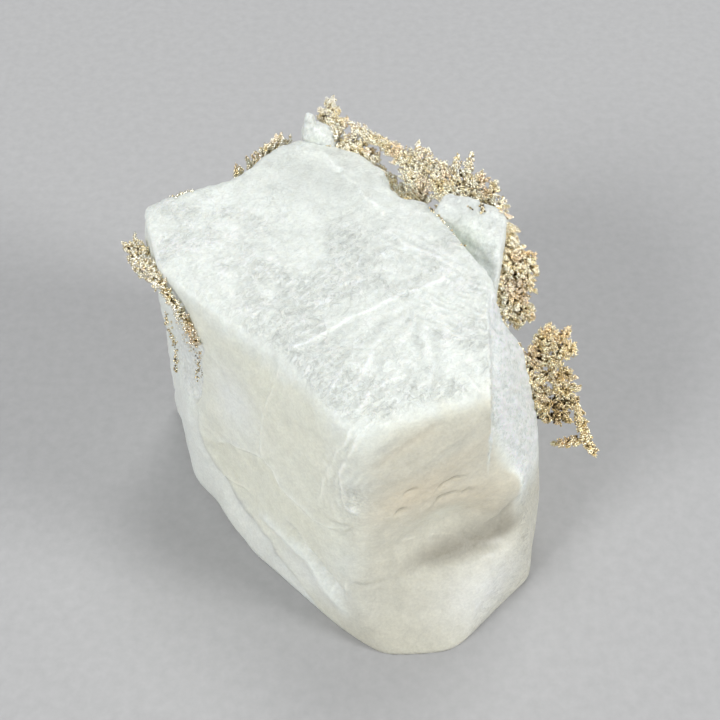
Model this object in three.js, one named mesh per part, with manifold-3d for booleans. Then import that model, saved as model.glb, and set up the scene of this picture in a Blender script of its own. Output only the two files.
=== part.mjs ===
// Calcite specimen: a blocky, etched calcite crystal with dendrites of native silver
// that grew in the seam behind it and stand out round its back edge.
// Millimetres, +Z up. The block stands on its flat underside.

import * as THREE from 'three';
import { mergeVertices } from 'three/addons/utils/BufferGeometryUtils.js';
import Module from 'manifold-3d';

const wasm = await Module();
wasm.setup();

// ---- Driving dimensions ----

const TOP = 33; // height of the upper cleavage face
const GAP = 0.3; // clearance between neighbouring pieces
const OVERLAP = 0.5; // how far the lobes of a strand run past their joints
const BLOCK_WEAR = 0.55; // how softly the block's edges are worn
const TOE_WEAR = 0.7; // the same for the toe below the right front
const CRYSTAL_WEAR = 0.3; // the same for the rear crystal
const TIP_WEAR = 0.2; // the same for the small crystal on the apex
const FILLET = 1.0; // how softly the toe runs into the block
const HALVINGS = 30; // steps that close in on a stone's surface
const ORIGIN = new THREE.Vector3(0.12, -2.02, 0); // middle of the whole specimen's footprint

// ---- Solids ----

const v = (x, y, z) => new THREE.Vector3(x, y, z);

function toManifold(geometry) {
  const plain = geometry.clone();
  plain.deleteAttribute('normal');
  plain.deleteAttribute('uv');
  const merged = mergeVertices(plain, 1e-4);
  return new wasm.Manifold(new wasm.Mesh({
    numProp: 3,
    vertProperties: Float32Array.from(merged.attributes.position.array),
    triVerts: Uint32Array.from(merged.index.array),
  }));
}

function toGeometry(solid) {
  const mesh = solid.getMesh();
  const geometry = new THREE.BufferGeometry();
  geometry.setAttribute('position', new THREE.BufferAttribute(mesh.vertProperties, 3));
  geometry.setIndex(new THREE.BufferAttribute(mesh.triVerts, 1));
  const loose = geometry.toNonIndexed();
  loose.computeVertexNormals();
  return loose;
}

// ---- Stone shapes ----

// A cleavage face: its outward direction and a point that it passes through.
function face(nx, ny, nz, px, py, pz) {
  const normal = v(nx, ny, nz).normalize();
  return { normal, offset: normal.dot(v(px, py, pz)) };
}

// Depth below all of the faces, with the edges between them rounded.
function within(faces, rounding) {
  return (p) => {
    let sum = 0;
    for (const { normal, offset } of faces) {
      sum += Math.exp((normal.dot(p) - offset) / rounding);
    }
    return rounding * Math.log(sum);
  };
}

function joined(a, b, rounding) {
  return (p) => -rounding * Math.log(Math.exp(-a(p) / rounding) + Math.exp(-b(p) / rounding));
}

// The closed surface where `level` is zero, found along rays from a point inside.
function stone(level, centre, reach, detail, grow = 0) {
  const geometry = new THREE.IcosahedronGeometry(1, detail);
  const position = geometry.attributes.position;
  const ray = v(0, 0, 0);
  const p = v(0, 0, 0);
  for (let i = 0; i < position.count; i += 1) {
    ray.fromBufferAttribute(position, i).normalize();
    let near = 0;
    let far = reach;
    for (let step = 0; step < HALVINGS; step += 1) {
      const middle = (near + far) / 2;
      p.copy(ray).multiplyScalar(middle).add(centre);
      if (level(p) < grow) {
        near = middle;
      } else {
        far = middle;
      }
    }
    position.setXYZ(i, p.x, p.y, p.z);
  }
  return toManifold(geometry);
}

function slabBelow(height) {
  const size = 200;
  const geometry = new THREE.BoxGeometry(size, size, size);
  geometry.translate(0, 0, height - size / 2);
  return toManifold(geometry);
}

// ---- The block ----

const BLOCK_CENTRE = v(-1, -3, 15);

const blockFaces = [
  face(0.02, 0, 1, -5, -5, TOP), // upper cleavage face
  face(0.18, 0.21, 0.96, -1.5, 12, TOP), // sloping facet behind the apex crease
  face(-0.728, -0.688, 0.03, -0.9, -22.6, TOP), // left front
  face(-0.964, -0.265, -0.02, -22, 3.5, TOP), // left end
  face(-0.604, 0.797, 0.02, -6.5, 19.6, TOP), // back left
  face(0.463, 0.886, 0.05, -3.3, 19.2, TOP), // back right by the apex
  face(0.753, 0.659, 0.06, 5.2, 12, TOP), // back right
  face(0.863, 0.506, 0.08, 14.1, -2, TOP), // right end behind
  face(0.874, -0.286, 0.393, 13.4, -8, 32), // right shoulder
  face(0.9, -0.35, 0.05, 17.8, -17.6, 0), // right end
  face(0.377, -0.926, 0.03, -0.9, -22.8, TOP), // right front
  face(0.25, -0.6, 0.76, 5.2, -18.2, TOP), // worn edge above the right front
  face(0, 0, -1, 0, 0, -3), // below the cut that makes the underside
];

const toeFaces = [
  face(0.05, -0.88, 0.47, 5, -26.7, 0.8), // front slope
  face(-0.69, -0.72, 0.1, -6.6, -18.9, 0), // left front
  face(0.736, -0.676, 0.1, 17.9, -18.3, 0), // right front
  face(0.95, 0.3, 0.1, 18.2, -14, 0), // right end
  face(-0.9, 0.1, 0.3, -12, -10, 0), // left end, inside the block
  face(0, 0.6, 0.8, 6, -14, 16), // back and top, inside the block
  face(0, 0, -1, 0, 0, -3), // below the cut that makes the underside
];

// Each hollow takes a rounded bite of the given depth out of the surface.
const hollows = [
  { centre: v(-8, -13, 33), radius: v(7, 5, 4), depth: 1.3 }, // left front edge
  { centre: v(-14.6, 12.6, 30), radius: v(5.5, 4, 9), depth: 1.9 }, // notch in the back left edge
  { centre: v(4.4, 11, 32), radius: v(1.8, 2.4, 5), depth: 2 }, // notch in the back right edge
  { centre: v(11, -18.5, 13), radius: v(8, 4, 3.4), depth: 1.8 }, // above the toe
  { centre: v(15.6, -3.4, 29.4), radius: v(3, 4.6, 4.6), depth: 1.5 }, // behind the right shoulder
];

const solidLevel = joined(within(blockFaces, BLOCK_WEAR), within(toeFaces, TOE_WEAR), FILLET);

function blockLevel(p) {
  let level = solidLevel(p);
  for (const { centre, radius, depth } of hollows) {
    const x = (p.x - centre.x) / radius.x;
    const y = (p.y - centre.y) / radius.y;
    const z = (p.z - centre.z) / radius.z;
    level += depth * Math.exp(-(x * x + y * y + z * z));
  }
  return level;
}

function calciteBlock(grow) {
  return stone(blockLevel, BLOCK_CENTRE, 60, 13, grow);
}

const rearFaces = [
  face(0.18, -0.1, 1, 9.5, 8, TOP - 0.3), // upper face
  face(-0.3, -0.62, 0.72, 12, 6.2, TOP - 0.4), // slope down to the seam
  face(0.976, -0.216, 0.05, 15.4, 6.6, TOP), // right
  face(0.28, 0.95, 0.12, 11, 9.8, TOP), // rear
  face(-0.77, 0.63, 0, 8.1, 8.6, TOP), // rear left
  face(0.3, -0.3, -0.9, 13.5, 2, TOP - 9), // underside
];

const tipFaces = [
  face(0.3, 0.1, 1, -5, 20, TOP + 1.8), // upper face
  face(-0.8, -0.3, 0.3, -5.9, 19.8, TOP + 1), // left
  face(0.8, -0.5, 0.4, -3.9, 19.6, TOP + 0.6), // right front
  face(-0.2, -0.9, 0.3, -4.8, 19.2, TOP + 0.4), // front
  face(-0.5, 0.8, 0.1, -5.2, 20.9, TOP + 0.6), // back left
  face(0.6, 0.8, 0, -4.4, 20.7, TOP), // back right
  face(0, 0, -1, -4.7, 20, TOP - 2.2), // underside
];

// ---- Silver ----

// A flat spray of silver lies in its own plane: `along` and `up` measured from `origin`.
function plane(origin, along, up) {
  const a = along.clone().normalize();
  const facing = a.clone().cross(up).normalize();
  const u = facing.clone().cross(a);
  return { facing, at: (x, y) => origin.clone().addScaledVector(a, x).addScaledVector(u, y) };
}

// One lobe of crystals from its root to its tip, flattened across `facing`.
function lobe(root, tip, width, thickness, facing, grow) {
  const geometry = new THREE.OctahedronGeometry(1, 1);
  const x = tip.clone().sub(root);
  const length = x.length();
  x.normalize();
  const y = facing.clone().cross(x).normalize();
  const z = x.clone().cross(y);
  geometry.scale(length / 2 + grow, width / 2 + grow, thickness / 2 + grow);
  geometry.applyMatrix4(new THREE.Matrix4().makeBasis(x, y, z));
  const middle = root.clone().add(tip).multiplyScalar(0.5);
  geometry.translate(middle.x, middle.y, middle.z);
  return toManifold(geometry);
}

// Rows are [root along, root up, tip along, tip up, width] in the spray's plane.
function flat(sheet, rows) {
  return rows.map(([x0, y0, x1, y1, width]) => ({
    root: sheet.at(x0, y0),
    tip: sheet.at(x1, y1),
    width,
    facing: sheet.facing,
  }));
}

// A strand runs from point to point against the stone in lobes that overlap.
function strand(facing, width, points) {
  return points.slice(1).map((next, i) => {
    const step = next.clone().sub(points[i]).setLength(OVERLAP);
    return { root: points[i].clone().sub(step), tip: next.clone().add(step), width, facing };
  });
}

function spray(lobes, thickness, grow = 0) {
  return lobes
    .map(({ root, tip, width, facing }) => lobe(root, tip, width, thickness, facing, grow))
    .reduce((sum, solid) => sum.add(solid));
}

const crest = plane(v(-4.7, 20.3, 31), v(21, -9, 0), v(0.215, 0.501, 0.839));
const right = plane(v(15.6, 8, 31), v(0.15, -0.84, -0.53), v(1, 0.13, 0.08));
const low = plane(v(17, -6, 22), v(0.981, 0.163, 0.109), v(-0.176, 0.48, 0.86));
const side = plane(v(-22.4, 4.5, 28), v(-0.764, 0.612, 0.204), v(0.456, 0.289, 0.842));
const backLeft = plane(v(-15.1, 14.9, 0), v(-0.797, -0.604, 0), v(0, 0, 1));
const backRight = plane(v(8.9, 10.6, 0), v(-0.659, 0.753, 0), v(0, 0, 1));
const leftFront = v(-0.73, -0.68, 0.03); // the way the left front face looks

const tipSpray = flat(crest, [
  [1.8, -2.4, 1.2, 3.8, 2.2],
  [1.2, 2.0, 0.3, 5.3, 1.8],
  [1.5, 1.0, 3.0, 3.9, 1.5],
  [1.0, 0.8, -0.9, 3.5, 1.0],
  [1.4, 0.0, 7.0, 0.0, 1.3],
  [2.4, -2.4, 4.4, 1.5, 1.7],
  [3.6, -2.6, 5.6, 0.9, 1.6],
  [5.2, -3.2, 7.2, 0.4, 1.6],
]);

const crestFern = flat(crest, [
  [13.8, -5.4, 11.4, 0.0, 3.4],
  [13.0, -2.2, 9.2, 2.1, 3.0],
  [13.0, -1.8, 11.2, 2.7, 2.6],
  [11.4, -0.6, 6.2, 2.3, 2.0],
  [8.2, 1.2, 3.6, 3.1, 1.2],
  [13.4, -4.2, 8.4, -0.6, 1.9],
]);

const shoulderFern = flat(crest, [
  [17.6, -5.0, 14.2, -0.4, 2.2],
  [15.6, -2.4, 12.9, 2.4, 1.8],
  [15.9, -2.0, 14.6, 2.1, 1.8],
  [16.8, -2.4, 16.1, 2.9, 1.6],
  [17.8, -2.6, 17.3, 2.5, 1.6],
  [18.6, -3.2, 18.9, 1.7, 2.0],
  [19.6, -3.6, 20.8, 1.1, 2.2],
  [20.2, -4.2, 22.4, -1.0, 2.0],
  [15.6, -4.0, 21.6, -4.4, 2.6],
]);

const rightSpray = flat(right, [
  [0.4, -0.8, 3.4, 0.2, 2.0],
  [1.6, -1.4, 5.9, 1.9, 2.2],
  [3.2, -1.8, 7.8, 1.1, 2.4],
  [5.4, -2.2, 11.2, 0.6, 2.4],
  [7.0, -2.8, 11.4, -0.9, 2.0],
  [5.8, -3.4, 10.9, -2.6, 2.2],
  [1.6, -1.4, 10.0, -1.8, 2.4],
]);

const lowSpray = flat(low, [
  [-0.6, 4.2, 1.6, -5.6, 2.0],
  [0.6, 2.2, 3.0, 4.6, 1.6],
  [0.6, 1.6, 5.0, 3.6, 2.2],
  [0.8, 0.4, 6.1, 1.6, 2.4],
  [1.0, -1.0, 6.2, -1.0, 2.4],
  [1.2, -2.6, 5.2, -3.0, 2.2],
  [1.2, -4.2, 4.6, -4.4, 2.0],
  [1.0, -5.4, 3.6, -5.9, 1.6],
]);

const tail = flat(low, [
  [4.9, -4.6, 5.5, -7.8, 1.2],
  [5.2, -7.0, 5.8, -9.6, 1.2],
  [6.0, -8.8, 3.0, -8.9, 1.0],
  [5.5, -9.0, 6.4, -10.7, 0.9],
]);

const sideTuft = flat(side, [
  [-0.6, -1.8, 3.0, 0.0, 2.2],
  [0.0, -0.8, 2.5, 1.2, 1.5],
  [-0.6, -0.8, 0.9, 2.0, 1.2],
  [-1.0, -2.2, 1.7, -1.4, 1.6],
]).concat(strand(leftFront, 2.0, [
  v(-24.1, 5.3, 27.5),
  v(-21.9, 0.9, 30.9),
  v(-20.4, -1.3, 32.6),
]));

const sideVein = strand(leftFront, 1.4, [
  v(-21.2, -1.1, 31.4),
  v(-19.6, -3.1, 30.6),
  v(-18.3, -4.7, 29.8),
  v(-16.9, -6.4, 28.0),
  v(-15.9, -7.5, 26.4),
]).concat(strand(leftFront, 1.0, [
  v(-15.9, -7.5, 26.8),
  v(-16.7, -6.9, 23.6),
  v(-17.3, -6.6, 20.4),
]));

const backLeftFern = flat(backLeft, [
  [-2.0, 4.0, 0.6, 17.0, 2.4],
  [0.4, 14.0, -2.2, 30.4, 2.4],
  [-1.2, 8.0, -6.5, 14.5, 2.2],
  [-0.6, 10.0, 4.6, 16.5, 2.2],
  [0.2, 15.5, -6.0, 23.0, 2.2],
  [0.2, 17.0, 6.0, 25.0, 2.2],
  [-1.4, 22.0, -5.2, 30.5, 2.8],
  [-2.0, 22.0, -7.2, 31.6, 2.8],
  [-2.6, 22.0, -9.2, 30.9, 2.8],
  [0.4, 21.0, 6.4, 29.9, 2.0],
]);

const backRightFern = flat(backRight, [
  [1.0, 3.0, -1.0, 14.0, 2.4],
  [-0.8, 11.0, 3.0, 28.0, 2.4],
  [0.4, 7.5, 7.0, 15.0, 2.2],
  [-0.4, 8.5, -7.0, 14.0, 2.2],
  [-0.4, 13.5, 7.6, 22.0, 2.2],
  [-0.6, 14.0, -8.6, 19.5, 2.4],
  [0.8, 19.0, 8.4, 27.5, 2.2],
]);

// ---- Assembly ----

const calcite = new THREE.MeshStandardMaterial({ color: 0xe6eae4, roughness: 0.5, metalness: 0 });
const silver = new THREE.MeshStandardMaterial({ color: 0xc9b98f, roughness: 0.35, metalness: 1 });

const specimen = new THREE.Group();

function add(name, solid, material) {
  const mesh = new THREE.Mesh(toGeometry(solid), material);
  mesh.name = name;
  specimen.add(mesh);
}

add('calcite_block', calciteBlock(0).subtract(slabBelow(0)), calcite);

const rearCentre = v(12.4, 5, TOP - 4);
const tipCentre = v(-4.7, 19.9, TOP + 0.6);
const rear = (grow) => stone(within(rearFaces, CRYSTAL_WEAR), rearCentre, 30, 5, grow);
const tip = (grow) => stone(within(tipFaces, TIP_WEAR), tipCentre, 10, 2, grow);

let taken = calciteBlock(GAP);
add('calcite_rear_crystal', rear(0).subtract(taken), calcite);
add('calcite_tip_crystal', tip(0).subtract(taken), calcite);
taken = taken.add(rear(GAP)).add(tip(GAP));

// Each spray keeps clear of the stone and of the sprays placed before it.
function addSilver(name, lobes, thickness) {
  add(name, spray(lobes, thickness).subtract(taken), silver);
  taken = taken.add(spray(lobes, thickness, GAP));
}

addSilver('silver_tip_spray', tipSpray, 1.5);
addSilver('silver_crest_fern', crestFern, 1.5);
addSilver('silver_shoulder_fern', shoulderFern, 1.6);
addSilver('silver_right_spray', rightSpray, 1.6);
addSilver('silver_low_spray', lowSpray, 1.6);
addSilver('silver_tail', tail, 1.2);
addSilver('silver_side_tuft', sideTuft, 1.4);
addSilver('silver_side_vein', sideVein, 1.2);
addSilver('silver_back_left_fern', backLeftFern, 1.5);
addSilver('silver_back_right_fern', backRightFern, 1.5);

specimen.children.forEach((mesh) => mesh.geometry.translate(-ORIGIN.x, -ORIGIN.y, -ORIGIN.z));

export default specimen;
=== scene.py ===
import itertools
import math

import bmesh
import bpy
import numpy as np
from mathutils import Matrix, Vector
from mathutils.bvhtree import BVHTree
from numpy.linalg import norm


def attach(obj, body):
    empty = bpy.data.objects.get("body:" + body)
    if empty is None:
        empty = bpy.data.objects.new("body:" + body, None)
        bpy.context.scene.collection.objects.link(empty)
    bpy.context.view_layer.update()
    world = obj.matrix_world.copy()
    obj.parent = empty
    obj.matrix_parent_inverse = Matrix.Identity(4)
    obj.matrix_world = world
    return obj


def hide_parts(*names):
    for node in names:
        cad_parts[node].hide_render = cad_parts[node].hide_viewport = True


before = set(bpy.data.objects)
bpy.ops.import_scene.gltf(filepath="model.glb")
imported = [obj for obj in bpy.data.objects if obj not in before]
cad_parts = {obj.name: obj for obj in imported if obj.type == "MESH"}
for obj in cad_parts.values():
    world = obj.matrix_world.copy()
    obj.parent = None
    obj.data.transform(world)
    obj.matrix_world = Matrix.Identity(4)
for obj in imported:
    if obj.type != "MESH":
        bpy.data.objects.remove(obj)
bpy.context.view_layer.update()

# Shapes are worked out in millimetres in the block's own frame, whose origin is this far
# from the model's: the middle of the whole specimen's footprint.
ORIGIN = np.array([0.12, -2.02, 0])
TOP = 33.0  # height of the upper cleavage face


def row(p):
    """Millimetres in the block's frame to metres in the row frame."""
    return (np.asarray(p, dtype=float) - ORIGIN) / 1000


# ---- Numbers ----


def smooth(x, low, high):
    t = np.clip((x - low) / (high - low), 0, 1)
    return t * t * (3 - 2 * t)


def blob(p, centre, radius):
    """1 at the centre, fading to nothing over the radii."""
    q = (p - np.asarray(centre, dtype=float)) / np.asarray(radius, dtype=float)
    return np.exp(-(q * q).sum(1))


def noise(p, size, seed):
    """Gradient noise from about -1 to 1 with features about `size` across."""
    grads = np.random.default_rng(seed).normal(size=(32, 32, 32, 3))
    grads /= norm(grads, axis=3, keepdims=True)
    q = p / size + 0.37 * seed
    cell = np.floor(q).astype(int)
    f = q - cell
    u = f * f * f * (f * (f * 6 - 15) + 10)
    total = np.zeros(len(p))
    for step in np.ndindex(2, 2, 2):
        x, y, z = ((cell + step) % 32).T
        weight = np.prod(np.where(step, u, 1 - u), axis=1)
        total += weight * (grads[x, y, z] * (f - step)).sum(1)
    return total * 1.6


def stroke(p, points):
    """Distance to a broken line, how far along it that is (0 to 1), and the way from the line."""
    points = np.asarray(points, dtype=float)
    lengths = norm(np.diff(points, axis=0), axis=1)
    near = np.full(len(p), 1e9)
    where = np.zeros(len(p))
    away = np.zeros_like(p)
    done = 0.0
    for a, b, length in zip(points, points[1:], lengths):
        t = np.clip(((p - a) @ (b - a)) / length**2, 0, 1)
        d = p - (a + t[:, None] * (b - a))
        r = norm(d, axis=1)
        closer = r < near
        near[closer] = r[closer]
        where[closer] = (done + t[closer] * length) / lengths.sum()
        away[closer] = d[closer]
        done += length
    return near, where, away


def on_skin(p, n, points):
    """The same for a line that may lie a little under or over the skin."""
    near, where, away = stroke(p, points)
    depth = (away * n).sum(1)
    away = away - depth[:, None] * n
    return np.hypot(norm(away, axis=1), 2 * np.maximum(np.abs(depth) - 1.2, 0)), where, away


def taper(where, ends=0.12):
    return smooth(where, 0, ends) * smooth(1 - where, 0, ends)


# ---- Meshes ----


def make_object(name, data):
    thing = bpy.data.objects.new(name, data)
    bpy.context.scene.collection.objects.link(thing)
    return thing


def make_piece(name, verts, faces, material, node, fields):
    """A mesh object from arrays (millimetres in), riding on the root in place of a CAD node,
    with a value or a colour at each vertex for each field."""
    mesh = bpy.data.meshes.new(name)
    mesh.from_pydata(row(verts), [], faces, shade_flat=False)
    for key, values in fields.items():
        if values.ndim == 2:
            layer = mesh.attributes.new(key, "FLOAT_COLOR", "POINT")
            rgba = np.column_stack([values, np.ones(len(values))])
            layer.data.foreach_set("color", rgba.ravel())
        else:
            layer = mesh.attributes.new(key, "FLOAT", "POINT")
            layer.data.foreach_set("value", values)
    mesh.materials.append(material)
    piece = make_object(name, mesh)
    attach(piece, "root")
    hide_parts(node)


def sphere_net(n):
    """Unit directions and triangles of an icosahedron with every edge cut into n."""
    golden = (1 + math.sqrt(5)) / 2
    signs = itertools.product(range(3), (-1, 1), (-golden, golden))
    corners = np.array([np.roll((0, a, b), k) for k, a, b in signs])
    edge = 2.1  # just over the corners' distance from their neighbours
    faces = []
    for a, b, c in itertools.combinations(range(12), 3):
        trio = corners[[a, b, c]]
        if norm(trio - np.roll(trio, 1, axis=0), axis=1).max() < edge:
            faces.append((a, b, c) if np.linalg.det(trio) > 0 else (a, c, b))
    i, j = np.meshgrid(np.arange(n + 1), np.arange(n + 1), indexing="ij")
    keep = i + j <= n
    i, j = i[keep], j[keep]
    index = np.zeros((n + 2, n + 2), dtype=int)
    index[i, j] = np.arange(len(i))
    right, above, beyond = index[i + 1, j], index[i, j + 1], index[i + 1, j + 1]
    up = i + j <= n - 1
    down = i + j <= n - 2
    grid = np.concatenate([
        np.stack([index[i, j], right, above], 1)[up],
        np.stack([right, beyond, above], 1)[down],
    ])
    weights = np.stack([n - i - j, i, j], 1) / n
    points = np.concatenate([weights @ corners[[a, b, c]] for a, b, c in faces])
    triangles = np.concatenate([grid + k * len(i) for k in range(len(faces))])
    keys = np.rint(points * 1e6).astype(np.int64)
    _, first, back = np.unique(keys, axis=0, return_index=True, return_inverse=True)
    points = points[first]
    points /= norm(points, axis=1)[:, None]
    return points, back.reshape(-1)[triangles]


# ---- The stone's faces ----


def faces_from(rows):
    """Each flat face's outward normal and distance, from a normal and a point on the face."""
    rows = np.array(rows, dtype=float)
    normals = rows[:, :3] / norm(rows[:, :3], axis=1)[:, None]
    return np.column_stack([normals, (normals * rows[:, 3:]).sum(1)])


BLOCK_FACES = faces_from([
    (0.02, 0, 1, -5, -5, TOP),  # upper cleavage face
    (0.18, 0.21, 0.96, -1.5, 12, TOP),  # sloping facet behind the apex crease
    (-0.728, -0.688, 0.03, -0.9, -22.6, TOP),  # left front
    (-0.964, -0.265, -0.02, -22, 3.5, TOP),  # left end
    (-0.604, 0.797, 0.02, -6.5, 19.6, TOP),  # back left
    (0.463, 0.886, 0.05, -3.3, 19.2, TOP),  # back right by the apex
    (0.753, 0.659, 0.06, 5.2, 12, TOP),  # back right
    (0.863, 0.506, 0.08, 14.1, -2, TOP),  # right end behind
    (0.874, -0.286, 0.393, 13.4, -8, 32),  # right shoulder
    (0.9, -0.35, 0.05, 17.8, -17.6, 0),  # right end
    (0.377, -0.926, 0.03, -0.9, -22.8, TOP),  # right front
    (0.25, -0.6, 0.76, 5.2, -18.2, TOP),  # worn edge above the right front
    (0, 0, -1, 0, 0, -0.6),  # underside
])

TOE_FACES = faces_from([
    (0.05, -0.88, 0.47, 5, -26.7, 0.8),  # front slope
    (-0.69, -0.72, 0.1, -6.6, -18.9, 0),  # left front
    (0.736, -0.676, 0.1, 17.9, -18.3, 0),  # right front
    (0.95, 0.3, 0.1, 18.2, -14, 0),  # right end
    (-0.9, 0.1, 0.3, -12, -10, 0),  # left end, within the block
    (0, 0.6, 0.8, 6, -14, 16),  # back, within the block
    (0, 0, -1, 0, 0, -0.6),  # underside
])

SHOULDER = 8  # the right shoulder's place in the list

# how far in from an edge the faces are worn round, in mm
BACK_WEAR = 0.4
FRONT_WEAR = 1.2
TOE_WEAR = 0.6
REAR_WEAR = 0.3
TIP_WEAR = 0.15
COLUMN_WEAR = 0.12
FILLET = 1.0  # between the block and its toe
HALVINGS = 26  # of the stretch that a point of the skin is looked for in

ABOVE_TOE = (11, -18.5, 13), (8, 4, 3.4), 1.8  # the hollow there: centre, radii, depth

# centre, radii, depth, and the faces of the block it is worn into
HOLLOWS = [
    ((-8, -13, 33), (7, 5, 4), 1.3, (2,)),  # left front edge
    ((-14.6, 12.6, 30), (5.5, 4, 9), 1.9, (4,)),  # notch in the back left edge
    ((4.4, 11, 32), (1.8, 2.4, 5), 2, (6,)),  # notch in the back right edge
    (*ABOVE_TOE, range(len(BLOCK_FACES))),
    ((15.6, -3.4, 30), (3, 4.4, 3.6), 1.7, (7, 8)),  # behind the right shoulder
    ((11, 1.5, 32), (4.5, 5, 6), 0.7, (6, 7)),  # along the seam to the rear crystal
    ((3.4, 12.6, 31.8), (1.2, 1.6, 5), 0.6, (5, 6)),  # scallop in the back right edge
    ((1.6, 17.2, 31.5), (2, 1.6, 5), -0.7, (5,)),  # swelling beside it
    ((-20.5, 0, 20), (4, 5, 6), 1, (2, 3)),  # left end below the silver
    ((-14, -10.4, 1), (4, 4, 4), -1.2, (2,)),  # swelling of the left foot
]

REAR_FACES = faces_from([
    (0.18, -0.1, 1, 9.5, 8, TOP - 0.3),  # upper face
    (-0.3, -0.62, 0.72, 12, 6.2, TOP - 0.4),  # slope down to the seam
    (0.976, -0.216, 0.05, 15.4, 6.6, TOP),  # right
    (0.28, 0.95, 0.12, 11, 9.8, TOP),  # rear
    (-0.77, 0.63, 0, 8.1, 8.6, TOP),  # rear left
    (0.3, -0.3, -0.9, 13.5, 2, TOP - 9),  # underside
])

TIP_FACES = faces_from([
    (0.35, 0, 1, -4.5, 20, TOP + 0.5),  # upper face
    (-1, -0.1, 0.1, -6.2, 19.9, TOP),  # left
    (0.75, -0.3, 0.6, -3.3, 19.9, TOP - 0.4),  # right
    (-0.1, -0.9, 0.4, -4.8, 19, TOP),  # front
    (0, 1, 0, -4.7, 20.8, TOP),  # rear
    (0, 0, -1, -4.7, 20, TOP - 2.2),  # underside
])

# a little column stands on it: top, left, right, front, rear, underside
TIP_COLUMN = faces_from([
    (0.3, -0.1, 1, -5.5, 19.9, TOP + 2),
    (-1, -0.2, 0.15, -6.05, 19.9, TOP + 1),
    (1, -0.2, 0.15, -5, 19.9, TOP + 1),
    (-0.1, -1, 0.25, -5.5, 19.4, TOP + 1),
    (0, 1, 0.1, -5.5, 20.5, TOP + 1),
    (0, 0, -1, -5.5, 20, TOP - 1),
])


def round_max(d, rounding):
    """The largest along each row, blended over the rounding, which may vary by row."""
    top = d.max(1)
    gap = (d - top[:, None]) / np.reshape(rounding, (-1, 1))
    return top + rounding * np.log(np.exp(gap).sum(1))


def within(p, faces, rounding):
    """Depth below all of the faces, with the edges between them rounded."""
    return round_max(p @ faces[:, :3].T - faces[:, 3], rounding)


def block_level(p):
    d = p @ BLOCK_FACES[:, :3].T - BLOCK_FACES[:, 3]
    for centre, radius, depth, worn in HOLLOWS:
        d[:, list(worn)] += depth * blob(p, centre, radius)[:, None]
    # left of the shoulder's upright edge the stone stands out in front of it
    d[:, SHOULDER] -= 2.6 * (1 - smooth(p[:, 0], 12.3, 12.9)) + 0.5 * smooth(31 - p[:, 2], 0, 2)
    a = round_max(d, BACK_WEAR + (FRONT_WEAR - BACK_WEAR) * smooth(-p[:, 1], 3, 10))
    centre, radius, depth = ABOVE_TOE
    b = within(p, TOE_FACES, TOE_WEAR) + depth * blob(p, centre, radius)
    low = np.minimum(a, b)
    return low - FILLET * np.log(np.exp((low - a) / FILLET) + np.exp((low - b) / FILLET))


def rear_level(p):
    return within(p, REAR_FACES, REAR_WEAR)


def tip_level(p):
    return np.minimum(within(p, TIP_FACES, TIP_WEAR), within(p, TIP_COLUMN, COLUMN_WEAR))


def rim(p, faces):
    """1 along the edges between the faces, fading to 0 within them."""
    d = np.sort(p @ faces[:, :3].T - faces[:, 3], axis=1)
    return np.exp(-(d[:, -1] - d[:, -2]) / 0.3)


def skin(level, centre, reach, net):
    """Points where the level is zero, along rays out of the centre, and the normals there."""
    centre = np.asarray(centre, dtype=float)
    near = np.zeros(len(net))
    far = np.full(len(net), float(reach))
    for _ in range(HALVINGS):
        middle = (near + far) / 2
        inside = level(centre + net * middle[:, None]) < 0
        near = np.where(inside, middle, near)
        far = np.where(inside, far, middle)
    p = centre + net * near[:, None]
    steps = 0.02 * np.eye(3)
    normal = np.stack([level(p + step) - level(p - step) for step in steps], axis=1)
    normal /= norm(normal, axis=1)[:, None] + 1e-12
    return p, normal


# ---- What is worn into the block ----

FRACTURE = [
    (-7.3, -12.8, 31.9), (-3, -10.1, 32.4), (1.1, -7.2, 32.8), (4.9, -4.8, 32.8), (9.4, -2.8, 32.7),
]
CREASE = [
    (-4.8, 17.6, 32.1), (-2.2, 13.5, 32.4), (-0.4, 10.4, 32.6), (1.3, 8, 32.7), (2.8, 5.8, 32.7),
]
CORNER_CRACK = [
    (2.1, -19.7, 32.2), (-0.2, -21.7, 31.3), (-1.3, -22, 28.9), (-2.1, -21.6, 25.4), (-2, -21.8, 23.6),
    (-1.7, -22.1, 21), (-1.2, -22.4, 19.8),
]
OUTER_CRACK = [
    (0, -20.8, 32.1), (-1.2, -21.3, 31.3), (-2.5, -21.1, 27.6), (-3.5, -20.3, 22.6), (-4.2, -20, 17.9),
]
CORNER_FOLD = [(-3.3, -20.9, 17.1), (-2.2, -21.9, 17.4), (-1, -22.7, 17.6), (-0.3, -22.8, 15)]
LONG_ARC = [
    (-15.8, -7.7, 12.1), (-14.4, -9.1, 14.2), (-12.6, -11, 15.8), (-10.9, -12.8, 16.7), (-9, -14.9, 17.2),
    (-8.1, -16.2, 16), (-6.3, -18.2, 15.9), (-4.6, -19.9, 15.4), (-3.3, -21.1, 15.6), (-2, -22.1, 17.1),
]
SIDE_ARC = [
    (-7.4, -12.8, 31.7), (-8.1, -13.9, 30.1), (-9.2, -14, 25.6), (-9.8, -13.6, 22.3), (-10.3, -13.4, 18.3),
    (-9, -15, 16.4),
]
LOW_FOLD = [
    (-17.6, -5.6, 15.8), (-17.9, -5.6, 12.5), (-17.3, -6.1, 9.8), (-16, -7.4, 7.9), (-14.7, -9.4, 6.9),
    (-13.5, -10.9, 5.8), (-12.5, -12.4, 5.1), (-11.3, -14.1, 5.3), (-9.9, -15.7, 5.2), (-9.2, -16.2, 3.6),
    (-7.8, -18, 2.9), (-6.2, -19.8, 2.2), (-4.9, -21, 1.2),
]
LOW_LIP = [(-15.3, -8.4, 7.7), (-13.1, -10.8, 8.5), (-11.7, -12.3, 9.1)]
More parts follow.
